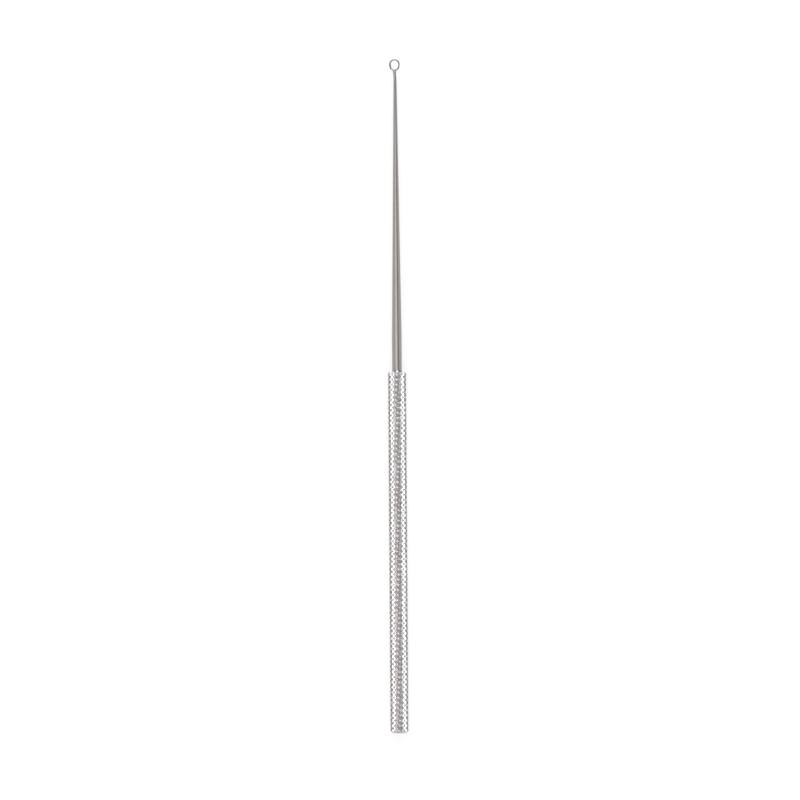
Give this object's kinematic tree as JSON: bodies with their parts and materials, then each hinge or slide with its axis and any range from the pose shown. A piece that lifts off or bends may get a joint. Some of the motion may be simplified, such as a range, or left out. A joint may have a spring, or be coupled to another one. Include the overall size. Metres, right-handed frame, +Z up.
{
  "type": "inoculating loop",
  "caption": "Slim hand tool with a round diamond-knurled steel handle and a tapered shank that ends in a tiny oval wire ring, for picking up and streaking cultures.",
  "frame": {"origin": "on the table under the middle of the tool: half-way between the butt face and the crown of the ring, on the tool's own axis seen from above, at the level that the handle rests on", "axes": "+Y along the tool's axis from the butt to the ring, +Z up off the table, X across the tool; the ring lies in the horizontal plane through the axis"},
  "size_m": [0.0046, 0.165, 0.0046],
  "materials": {
    "knurled_steel": "bright stainless steel, rolled diamond knurl with worn crests",
    "satin_steel": "stainless steel, fine satin polish along the taper",
    "silver_braze": "silver braze, smooth and slightly uneven",
    "wire_steel": "drawn stainless wire, lightly dulled by heat"
  },
  "bodies": {
    "root": {"handle": "knurled_steel", "shank": "satin_steel", "handle_braze": "silver_braze", "loop_wire": "wire_steel", "loop_braze": "silver_braze"}
  },
  "joints": []
}
